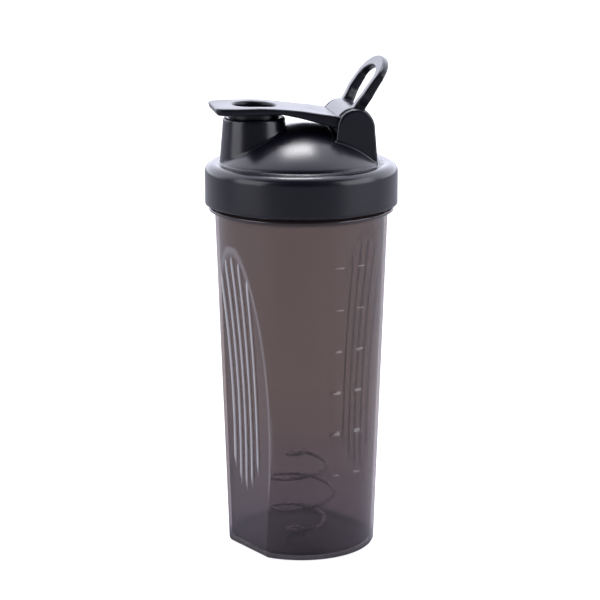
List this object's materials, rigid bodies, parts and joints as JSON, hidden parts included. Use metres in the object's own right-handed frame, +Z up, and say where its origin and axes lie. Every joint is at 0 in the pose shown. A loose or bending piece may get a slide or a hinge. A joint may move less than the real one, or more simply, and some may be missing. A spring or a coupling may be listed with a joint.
{
  "type": "protein shaker bottle",
  "caption": "Tapered see-through shaker cup with ribbed grips, screw lid, flip-top spout cap, folding carry loop and loose wire whisk ball.",
  "frame": {"origin": "centre of the base, on the surface that the bottle stands on", "axes": "+Z up along the bottle's axis; the spout is toward -X; the hinge's axis is parallel to Y on the +X side"},
  "size_m": [0.095, 0.095, 0.2459],
  "materials": {
    "smoke_plastic": "satin, smoke grey, see-through",
    "lid_plastic": "satin black",
    "cap_plastic": "satin black",
    "loop_plastic": "satin black",
    "gasket_silicone": "matt",
    "seal_silicone": "matt",
    "pin_steel": "drawn",
    "whisk_wire": "polished wire"
  },
  "bodies": {
    "cup": {"cup": "smoke_plastic"},
    "whisk": {"whisk_ball": "whisk_wire"},
    "gasket": {"lid_gasket": "gasket_silicone"},
    "lid": {"lid": "lid_plastic", "hinge_pin": "pin_steel"},
    "cap": {"flip_cap": "cap_plastic", "spout_seal": "seal_silicone"},
    "loop": {"carry_loop": "loop_plastic"}
  },
  "joints": [
    {"name": "whisk_rise", "type": "slide", "parent": "cup", "child": "whisk", "axis": [0, 0, 1], "range_m": [0, 0.1]},
    {"name": "lid_lift", "type": "slide", "parent": "cup", "child": "gasket", "axis": [0, 0, 1], "range_m": [0, 0.024]},
    {"name": "lid_turn", "type": "hinge", "parent": "gasket", "child": "lid", "pos_m": [0, 0, 0.19], "axis": [0, 0, 1], "range_deg": [0, 1441]},
    {"name": "cap_hinge", "type": "hinge", "parent": "lid", "child": "cap", "pos_m": [0.0233, 0, 0.2133], "axis": [0, 1, 0], "range_deg": [0, 55]},
    {"name": "loop_swing", "type": "hinge", "parent": "lid", "child": "loop", "pos_m": [0.0233, 0, 0.2133], "axis": [0, 1, 0], "range_deg": [0, 60]}
  ],
  "couplings": [
    {"joint": "lid_turn", "follows": "lid_lift", "rad_per_m": 1047.2}
  ]
}
